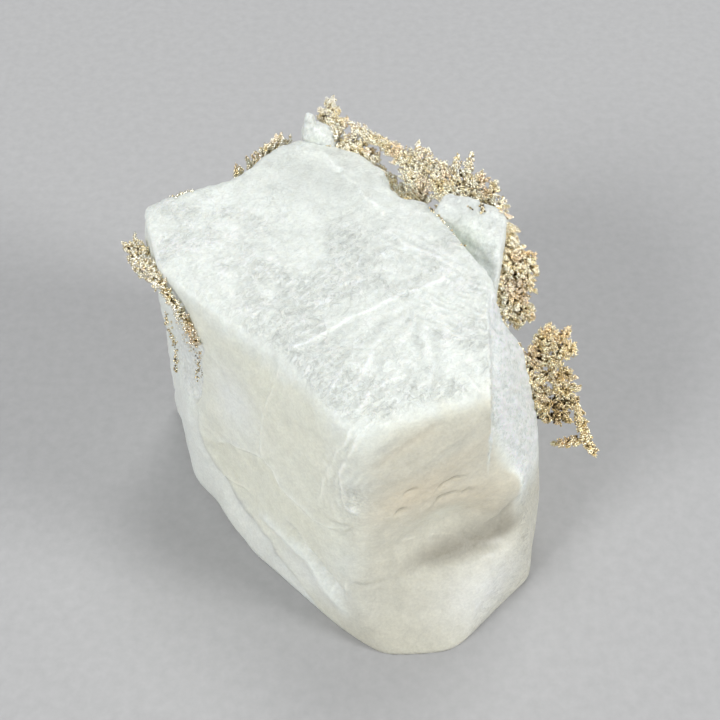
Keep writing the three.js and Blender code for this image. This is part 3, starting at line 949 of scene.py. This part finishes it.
def make_small(name, level, centre, reach, divisions, node, seed, clear_part, faces_of, lump):
    """One of the two small crystals, with a greyer, clearer part and bright edges."""
    net, faces = sphere_net(divisions)
    p, n = skin(level, centre, reach, net)
    lumps = lump * (noise(p, 3.2, seed) + 1.3 * noise(p, 1.2, seed + 1))
    fine = 0.6 * lump * noise(p, 0.55, seed + 2)
    clear = blob(p, *clear_part)[:, None]
    tone = np.array([0.76, 0.79, 0.755]) + clear * (np.array([0.71, 0.735, 0.68]) - 0.76)
    # painted light on the fine lumps and painted shade between them, and brighter along the edges
    tone = tone * (1 + 0.5 * fine + 0.07 * rim(p, faces_of))[:, None]
    fields = {
        "tone": tone,
        "sugar": np.clip(0.3 + 0.4 * noise(p, 2, seed + 3), 0, 1),
        "etch": np.full(len(p), 0.6),
    }
    q = p + n * (lumps + fine)[:, None]
    make_piece(name, q, faces, STONE, node, fields)
    return q, faces


block = make_block()
rear = make_small("calcite_rear_skin", rear_level, (12.4, 5.5, TOP - 4), 30, 44,
                  "calcite_rear_crystal", 61, ((10.4, 4.6, 30.6), (2.6, 3.2, 1.4)), REAR_FACES,
                  0.12)
tip = make_small("calcite_tip_skin", tip_level, (-5.3, 19.9, TOP - 0.2), 10, 30,
                 "calcite_tip_crystal", 71, ((-4.9, 19.2, 32.4), (0.9, 0.6, 0.5)), TIP_FACES,
                 0.17)

# ---- Native silver ----


def unit(v):
    v = np.asarray(v, dtype=float)
    return v / norm(v)


def plane(origin, along, up):
    a = unit(along)
    facing = unit(np.cross(a, up))
    return np.array(origin, dtype=float), a, np.cross(facing, a), facing


CREST = plane((-4.7, 20.3, 31), (21, -9, 0), (0.215, 0.501, 0.839))
RIGHT = plane((15.6, 8, 31), (0.15, -0.84, -0.53), (1, 0.13, 0.08))
LOW = plane((17, -6, 22), (0.981, 0.163, 0.109), (-0.176, 0.48, 0.86))
SIDE = plane((-22.4, 4.5, 28), (-0.764, 0.612, 0.204), (0.456, 0.289, 0.842))
BACK_LEFT = plane((-15.1, 14.9, 0), (-0.797, -0.604, 0), (0, 0, 1))
BACK_RIGHT = plane((8.9, 10.6, 0), (-0.659, 0.753, 0), (0, 0, 1))

# Leaves of each fern: root along, root up, tip along, tip up, width
TIP_LEAVES = [
    (1.8, -2.4, 1.3, 3.4, 2.2), (1.3, 1.6, 0.6, 4.6, 1.7), (1.6, 0.6, 2.5, 2.8, 1.2),
    (1, 0.8, -0.3, 3, 0.8), (1.4, 0, 6.8, 0.1, 1.4), (2.4, -2.4, 4, 1.9, 1.8),
    (3.6, -2.6, 5.3, 1.2, 1.6), (4.4, -2.9, 6.2, 0.4, 1.4), (5.2, -3.2, 7, -0.2, 1.5),
]
CREST_LEAVES = [
    (13.8, -5.4, 11.6, -0.4, 3), (13, -2.2, 9.4, 1.5, 2.6), (13, -2, 11.4, 1.9, 2.4),
    (11.4, 0, 6.4, 2.1, 1.5), (8.2, 1.4, 3.8, 2.7, 1.2), (13.4, -4.4, 8.2, -1.3, 1.3),
]
SHOULDER_LEAVES = [
    (17.6, -5, 14.2, -0.6, 2.2), (15.6, -2.6, 13, 1.5, 1.8), (15.9, -2.2, 14.6, 1.4, 1.7),
    (16.8, -2.4, 16.1, 2, 1.5), (17.8, -2.6, 17.4, 2.3, 1.5), (18.6, -3.2, 18.9, 1.1, 1.9),
    (19.6, -3.6, 20.8, 0.7, 2.1), (20.2, -4.2, 22.2, -1, 1.9), (15.6, -4, 21.6, -4.4, 2.6),
]
RIGHT_LEAVES = [
    (-1.6, -1, 3.4, 0.2, 2), (1.6, -1.4, 5.9, 1.9, 2.2), (3.2, -1.8, 7.8, 1.1, 2.4),
    (5.4, -2.2, 11.2, 0.6, 2.4), (7, -2.8, 11.4, -0.9, 2), (5.8, -3.4, 10.9, -2.6, 2.2),
    (1.6, -1.4, 10, -1.8, 2.4),
]
LOW_LEAVES = [
    (-0.4, 3.4, 1.6, -5.6, 1.9), (0.9, 1.8, 3.1, 3.9, 1.5), (0.9, 1.2, 5, 3.3, 2),
    (1, 0.3, 5.8, 1.6, 2), (1.2, -1, 4.9, -1.3, 1.8), (1.4, -2.6, 5.2, -3, 2),
]
LOW_RIBS = [(1.2, -4.2, 4.8, -4.4, 2), (1, -5.4, 3.6, -5.9, 1.6)]
TAIL_LEAVES = [
    (4.9, -4.6, 5.5, -7.8, 1.2), (5.2, -7, 5.8, -9.6, 1.2), (6, -8.8, 3, -8.9, 1),
    (5.5, -9, 6.4, -10.7, 0.9),
]
TUFT_LEAVES = [
    (-0.6, -1.6, 2.7, -0.3, 1.2), (0, -0.8, 2.3, 0.4, 1.1), (-0.6, -0.8, 0.9, 0.8, 0.9),
    (-1, -2, 1.3, -1.3, 1),
]
BACK_LEFT_LEAVES = [
    (-2, 4, 0.6, 17, 2.4), (0.4, 14, -2.2, 30.4, 2.4), (-1.2, 8, -6.5, 14.5, 2.2),
    (-0.6, 10, 4.6, 16.5, 2.2), (0.2, 15.5, -6, 23, 2.2), (0.2, 17, 6, 25, 2.2),
    (-1.4, 22, -5.2, 30.8, 3.2), (-2, 22, -7.2, 31.7, 3.4), (-2.6, 22, -9.2, 31.2, 3.2),
    (-2.2, 24, -6.2, 31.6, 2.4), (-2.4, 24, -8.2, 31.8, 2.4), (0.4, 21, 6.4, 29.9, 2),
]
BACK_RIGHT_LEAVES = [
    (1, 3, -1, 14, 2.4), (-0.8, 11, 3, 28, 2.4), (0.4, 7.5, 7, 15, 2.2),
    (-0.4, 8.5, -7, 14, 2.2), (-0.4, 13.5, 7.6, 22, 2.2), (-0.6, 14, -8.6, 19.5, 2.4),
    (0.8, 19, 8.4, 27.5, 2.2),
]


class Grains:
    """The nodules of one piece of silver: centre, radius, growth, age, shade, loose or not."""

    def __init__(self, seed):
        self.rng = np.random.default_rng(seed)
        self.rows = []

    def add(self, at, radius, growth, age, shade=0.0, loose=0.0):
        self.rows.append((*at, radius, *growth, age, shade, loose))

    def rod(self, start, end, r0, r1, age0, age1, shade=0.0, bend=None):
        """Nodules close together in a row, so that they read as a smooth rib."""
        start, end = np.asarray(start, dtype=float), np.asarray(end, dtype=float)
        length = norm(end - start)
        count = max(2, int(length / 0.16))
        growth = (end - start) / max(length, 1e-6)
        for k in range(count + 1):
            t = k / count
            at = start + (end - start) * t
            if bend is not None:
                at = at + bend * t * (1 - t)
            self.add(at, r0 + (r1 - r0) * t, growth, age0 + (age1 - age0) * t, shade)


def spire(grains, base, way, front, length, size, shade=0.0):
    """A spire of rounded nodules: a stem with a knob to each side at every step, to a tip."""
    rng = grains.rng
    side = unit(np.cross(front, way))
    steps = max(2, round(length / (1.3 * size)))
    for k in range(steps + 1):
        t = k / steps
        at = base + way * length * t + rng.normal(size=3) * 0.02
        grains.add(at, size * (1.10 - 0.45 * t) * rng.uniform(0.9, 1.1), way, t, shade)
        if k in (0, steps):
            continue
        for hand in (-1, 1):
            if rng.random() < 0.10:
                continue
            out = unit(side * hand + way * 0.5 + front * rng.uniform(-0.1, 0.5))
            reach = size * rng.uniform(1.05, 1.45) * (1.3 - 0.75 * t)
            grains.add(at + out * reach, size * (0.98 - 0.35 * t) * rng.uniform(0.75, 1.1), out,
                       0.25 + 0.7 * t, shade)
        if rng.random() < 0.35:
            out = unit(front + way * 0.4 + side * rng.uniform(-0.4, 0.4))
            grains.add(at + out * size * 0.9, size * rng.uniform(0.7, 0.95), out, 0.9, shade)


def leaf(grains, sheet, shape, sides=(1, -1), shade=0.0, gap=0.95):
    """A fern leaf: a rib with spires standing off it to left and right, on one or both sides."""
    origin, a, u, facing = sheet
    root_a, root_u, tip_a, tip_u, width = shape
    rng = grains.rng
    root = origin + a * root_a + u * root_u
    tip = origin + a * tip_a + u * tip_u
    length = norm(tip - root)
    growth = (tip - root) / length
    side = np.cross(facing, growth)
    curl = side * rng.uniform(-0.25, 0.25) * length * 0.3
    grains.rod(root, tip, 0.24, 0.15, 0.2, 0.9, shade, curl)
    for front in sides:
        out = facing * front
        at = gap * rng.uniform(0.1, 0.5)
        while at < length:
            t = at / length
            half = 0.5 * width * min(1, 1.25 * math.sin(math.pi * min(1, t * 0.85 + 0.12)))
            base = root + growth * at + curl * t * (1 - t) + out * 0.12
            for hand in (-1, 1):
                lean = math.radians(rng.uniform(36, 52))
                way = growth * math.cos(lean) + side * hand * math.sin(lean)
                way = unit(way + out * rng.uniform(0.05, 0.45))
                reach = max(0.45, half * rng.uniform(0.8, 1.15)) / math.sin(lean)
                spire(grains, base + growth * rng.uniform(-0.2, 0.2), way, out, reach,
                      rng.uniform(0.155, 0.20), shade + rng.normal() * 0.06)
            way = unit(growth + out * rng.uniform(0.5, 0.9) + side * rng.uniform(-0.5, 0.5))
            spire(grains, base + growth * gap * 0.4, way, out, rng.uniform(0.6, 1.1),
                  rng.uniform(0.16, 0.20), shade)
            at += gap * rng.uniform(0.85, 1.15)


def tangle(grains, points, width, per_mm, shade=0.0, size=0.17, push=0):
    """Short thick twigs packed round a broken line."""
    points = np.asarray(points, dtype=float)
    rng = grains.rng
    for start, end in zip(points, points[1:]):
        length = norm(end - start)
        growth = (end - start) / length
        for _ in range(int(length * per_mm)):
            away = unit(np.cross(growth, rng.normal(size=3)))
            at = start + (end - start) * rng.random() + away * 0.15 * width + push
            way = unit(away + growth * rng.normal() * 0.8)
            for k in range(4):
                t = k / 3
                grains.add(at + way * 0.4 * width * t + rng.normal(size=3) * 0.03,
                           size * rng.uniform(0.85, 1.1) * (1.05 - 0.3 * t), way, t, shade)


def dust(grains, points, spread, count, size, surface, toward, shade=0.0):
    """Loose grains on the stone's skin beside a broken line."""
    points = np.asarray(points, dtype=float)
    rng = grains.rng
    toward = unit(toward)
    for _ in range(count):
        k = rng.integers(len(points) - 1)
        at = points[k] + (points[k + 1] - points[k]) * rng.random()
        at = at + rng.normal(size=3) * spread
        hit, normal, _, _ = surface.ray_cast(Vector(at - toward * 6), Vector(toward))
        if hit is None:
            continue
        radius = rng.uniform(*size)
        grains.add(np.array(hit) + np.array(normal) * radius * 0.4, radius, np.array(normal),
                   rng.random(), shade, 1.0)


KNOB, KNOB_FACES = sphere_net(1)


def spin(rng, count):
    """Random rotation matrices."""
    q = rng.normal(size=(count, 4))
    w, x, y, z = (q / norm(q, axis=1)[:, None]).T
    rows = [
        [1 - 2 * (y * y + z * z), 2 * (x * y - z * w), 2 * (x * z + y * w)],
        [2 * (x * y + z * w), 1 - 2 * (x * x + z * z), 2 * (y * z - x * w)],
        [2 * (x * z - y * w), 2 * (y * z + x * w), 1 - 2 * (x * x + y * y)],
    ]
    return np.array(rows).transpose(2, 0, 1)


def stone_near(p):
    return np.minimum(block_level(p), np.minimum(rear_level(p), tip_level(p)))


def crowding(at, reach=0.5):
    """How closely each nodule is surrounded, the way out, and how open that side is."""
    crowd, out = [], []
    for some in np.array_split(at, max(1, len(at) // 400)):
        away = some[:, None] - at[None]
        weight = np.exp(-(away * away).sum(2) / reach**2)
        crowd.append(weight.sum(1))
        out.append((away * weight[..., None]).sum(1))
    crowd, out = np.concatenate(crowd), np.concatenate(out)
    size = norm(out, axis=1)
    openness = smooth(size / (crowd * reach), 0.05, 0.35)
    return crowd / np.percentile(crowd, 85), out / (size[:, None] + 1e-9), openness


PALE = np.array([1.000, 0.950, 0.820])
GOLD = np.array([0.860, 0.705, 0.380])
COPPER = np.array([0.880, 0.640, 0.450])
DARK = np.array([0.060, 0.042, 0.022])


def silver_colour(rng, at, age, shade, growth, turned):
    """Each corner's colour and each nodule's roughness: champagne where it stands proud, gold deeper in
    (part tarnish, part painted shade), near-black painted shade where the nodules crowd in, and coppery in
    patches."""
    patch = smooth(noise(at, 2.0, 81), 0.05, 0.5)
    tarnish = smooth(noise(at, 1.4, 82), -0.1, 0.5)
    crowd, out, openness = crowding(at)
    # painted shade: darker where the nodules crowd each other and at the roots of the spires, with the
    # given shade added
    deep = 0.95 * crowd * (1 - 0.7 * openness) + 0.25 * (0.5 - age) + shade
    deep = deep + 0.25 * rng.normal(size=len(at)) - 0.05
    # painted light: corners turned outward and along the growth come out paler, those turned in darker
    proud = 0.30 * (turned * out[:, None]).sum(2) + 0.12 * (turned * growth[:, None]).sum(2)
    deep = np.clip(deep[:, None] - proud, -0.1, 1.3)
    golden = 0.85 * smooth(deep, -0.02, 0.45) + 0.35 * tarnish[:, None]
    tint = PALE + (GOLD - PALE) * np.clip(golden, 0, 1)[..., None]
    tint = tint + (COPPER - tint) * (0.32 * patch)[:, None, None]
    # painted shade, down to near black, in the most crowded places
    tint = tint + (DARK - tint) * (0.97 * smooth(deep, 0.30, 0.90))[..., None]
    tint = tint * (1 - smooth(at[:, 0], 14, 20)[:, None] * [0.0, 0.06, 0.18])[:, None]
    dull = np.clip(0.11 + 0.22 * deep.mean(1) + 0.10 * rng.random(len(at)), 0.10, 0.5)
    return tint.reshape(-1, 3), dull


def make_silver(grains, node):
    """The nodules as one mesh of small blobs drawn out along their growth."""
    rng = grains.rng
    rows = np.array(grains.rows)
    rows = rows[(stone_near(rows[:, :3]) > -0.12) | (rows[:, 9] > 0)]
    at, radius, growth, age, shade = rows[:, :3], rows[:, 3], rows[:, 4:7], rows[:, 7], rows[:, 8]
    count = len(rows)
    turned = np.einsum("nij,vj->nvi", spin(rng, count), KNOB)
    turned *= rng.uniform(0.86, 1.14, size=(count, len(KNOB), 1))
    stretch = (turned * growth[:, None]).sum(2, keepdims=True) * growth[:, None]
    shapes = turned + stretch * rng.uniform(0.1, 0.5, size=(count, 1, 1))
    verts = (at[:, None] + shapes * radius[:, None, None]).reshape(-1, 3)
    faces = (KNOB_FACES[None] + np.arange(count)[:, None, None] * len(KNOB)).reshape(-1, 3)
    tint, dull = silver_colour(rng, at, age, shade, growth, turned)
    fields = {"tint": tint, "dull": np.repeat(dull, len(KNOB))}
    make_piece(node + "_grains", verts, faces, SILVER, node, fields)


BLOCK_SKIN = BVHTree.FromPolygons(block[0].tolist(), block[1].tolist())
REAR_SKIN = BVHTree.FromPolygons(rear[0].tolist(), rear[1].tolist())

FRONT_LEFT = unit((-0.73, -0.68, 0.03))
TUFT_LINE = [(-23.6, 4.6, 28.2), (-22, 1.4, 30.4), (-20.6, -0.9, 32)]
VEIN_LINE = [
    (-20.7, -0.8, 31.7), (-19.5, -2.6, 31.6), (-18.6, -3.8, 31.1), (-17.8, -4.8, 30.4),
    (-17.1, -5.6, 29.4), (-16.6, -6.2, 28.4), (-16.1, -6.8, 27.4),
]
VEIN_END = [(-16.3, -6.6, 26.2), (-16.6, -6.5, 23.4), (-17, -6.2, 20.8)]
LEFT_EDGE = [(-21.4, 4.2, 20), (-21, 3.4, 17.4), (-20.6, 2.6, 15.5), (-20.4, 1.6, 13.8)]
STRIP = [(-19, -2.8, 27.3), (-18.4, -3.6, 25.8), (-18.3, -3.6, 23.5)]
SPECKS = [(-17.2, -5, 24.6), (-16.6, -5.5, 23.4), (-16.7, -5.3, 21.2), (-17, -4.8, 19.3)]
LEFT_BACK_EDGE = [(-19.6, 8.6, 33), (-17.6, 9.9, 33)]
SEAM = [(7.4, 8.4, 33), (9.6, 5.2, 33), (11.2, 2.4, 33)]
REAR_HAIR = [(11.2, 8, 33), (11.8, 7.9, 33)]
REAR_SPOT = [(12.8, 8.6, 33), (12.9, 7.4, 33)]
TIP_FOOT = [(-4.2, 18.9, 33), (-3.4, 18.5, 33)]


INWARD = (0.8, 0.6, 0)
DOWN = (0, 0, -1)

# loose grains: node, the line they lie along, their spread about it, how many, the smallest and
# largest radius, the stone, the way they fell on it, and their shade
DUSTINGS = [
    ("silver_side_vein", LEFT_EDGE, 0.5, 95, (0.06, 0.16), BLOCK_SKIN, INWARD, 0.35),
    ("silver_side_vein", STRIP, 1.1, 80, (0.04, 0.08), BLOCK_SKIN, INWARD, 0.25),
    ("silver_side_vein", SPECKS, 0.45, 50, (0.04, 0.08), BLOCK_SKIN, INWARD, 0.7),
    ("silver_back_left_fern", LEFT_BACK_EDGE, 0.2, 25, (0.1, 0.2), BLOCK_SKIN, DOWN, 0),
    ("silver_shoulder_fern", SEAM, 0.25, 60, (0.08, 0.16), BLOCK_SKIN, DOWN, 0.3),
    ("silver_shoulder_fern", REAR_HAIR, 0.08, 10, (0.06, 0.1), REAR_SKIN, DOWN, 0.8),
    ("silver_shoulder_fern", REAR_SPOT, 0.16, 26, (0.1, 0.16), REAR_SKIN, DOWN, 0.5),
    ("silver_tip_spray", TIP_FOOT, 0.12, 22, (0.08, 0.14), BLOCK_SKIN, DOWN, 0.7),
]


def fern(seed, sheet, leaves, sides=(1, -1), shade=0.0, gap=0.95):
    grains = Grains(seed)
    for one in leaves:
        leaf(grains, sheet, one, sides, shade, gap)
    return grains


silver = {
    "silver_tip_spray": fern(101, CREST, TIP_LEAVES),
    "silver_crest_fern": fern(102, CREST, CREST_LEAVES),
    "silver_shoulder_fern": fern(103, CREST, SHOULDER_LEAVES),
    "silver_right_spray": fern(104, RIGHT, RIGHT_LEAVES, shade=0.02),
    "silver_low_spray": fern(105, LOW, LOW_LEAVES),
    "silver_tail": fern(106, LOW, TAIL_LEAVES, shade=0.2),
    "silver_side_tuft": fern(107, SIDE, TUFT_LEAVES, shade=0.12),
    "silver_back_left_fern": fern(109, BACK_LEFT, BACK_LEFT_LEAVES, (1,), gap=1.05),
    "silver_back_right_fern": fern(110, BACK_RIGHT, BACK_RIGHT_LEAVES, (1,), gap=1.05),
    "silver_side_vein": Grains(108),
}
for one in LOW_RIBS:
    leaf(silver["silver_low_spray"], LOW, one, shade=0.4)
tangle(silver["silver_side_tuft"], TUFT_LINE, 1.3, 12, 0.05, size=0.22)
vein = silver["silver_side_vein"]
tangle(vein, VEIN_LINE[:2], 1.9, 26, -0.1, size=0.17, push=FRONT_LEFT * 0.3)
tangle(vein, VEIN_LINE, 1.25, 24, -0.1, size=0.17, push=FRONT_LEFT * 0.35)
tangle(vein, VEIN_END, 0.5, 3, 0.3, size=0.08, push=FRONT_LEFT * 0.15)
for node, points, spread, count, size, surface, toward, shade in DUSTINGS:
    dust(silver[node], points, spread, count, size, surface, toward, shade)
for node, grains in silver.items():
    make_silver(grains, node)

# ---- Stage ----

MIDDLE = Vector((0, 0, 0.015))  # what the lights are turned to
ELEVATION = math.radians(49)
DISTANCE = 0.1478


def turned_along(thing, way):
    thing.rotation_mode = "QUATERNION"
    thing.rotation_quaternion = way.to_track_quat("-Z", "Y")


def make_floor():
    bm = bmesh.new()
    bmesh.ops.create_grid(bm, x_segments=8, y_segments=8, size=2.0)
    mesh = bpy.data.meshes.new("floor")
    bm.to_mesh(mesh)
    bm.free()
    mesh.materials.append(floor_material())
    floor = make_object("floor", mesh)


def make_light(name, at, size, watts):
    data = bpy.data.lights.new(name, "AREA")
    data.shape = "DISK"
    data.size = size
    data.energy = watts
    light = make_object(name, data)
    light.location = at
    turned_along(light, MIDDLE - Vector(at))


def make_camera():
    back = Vector((0, -math.cos(ELEVATION), math.sin(ELEVATION)))
    data = bpy.data.cameras.new("camera")
    data.sensor_width = 36
    data.lens = 67.2
    data.clip_start = 0.005
    data.clip_end = 20
    camera = make_object("camera", data)
    camera.location = Vector(row((0, 0, TOP / 2 + 0.5))) + back * DISTANCE
    turned_along(camera, -back)
    bpy.context.scene.camera = camera


make_floor()
make_light("sky", (0.12, 0.66, 1.26), 0.48, 5.35)
make_light("front", (-0.96, -0.84, 0.87), 0.60, 11.80)
make_light("right", (1.44, -0.51, 0.81), 0.60, 17.20)
make_camera()

world = bpy.data.worlds.new("studio")
world.use_nodes = True
background = world.node_tree.nodes["Background"]
background.inputs["Color"].default_value = (0.95, 0.97, 1.0, 1)
background.inputs["Strength"].default_value = 0.40
bpy.context.scene.world = world
bpy.context.scene.view_settings.view_transform = "Standard"
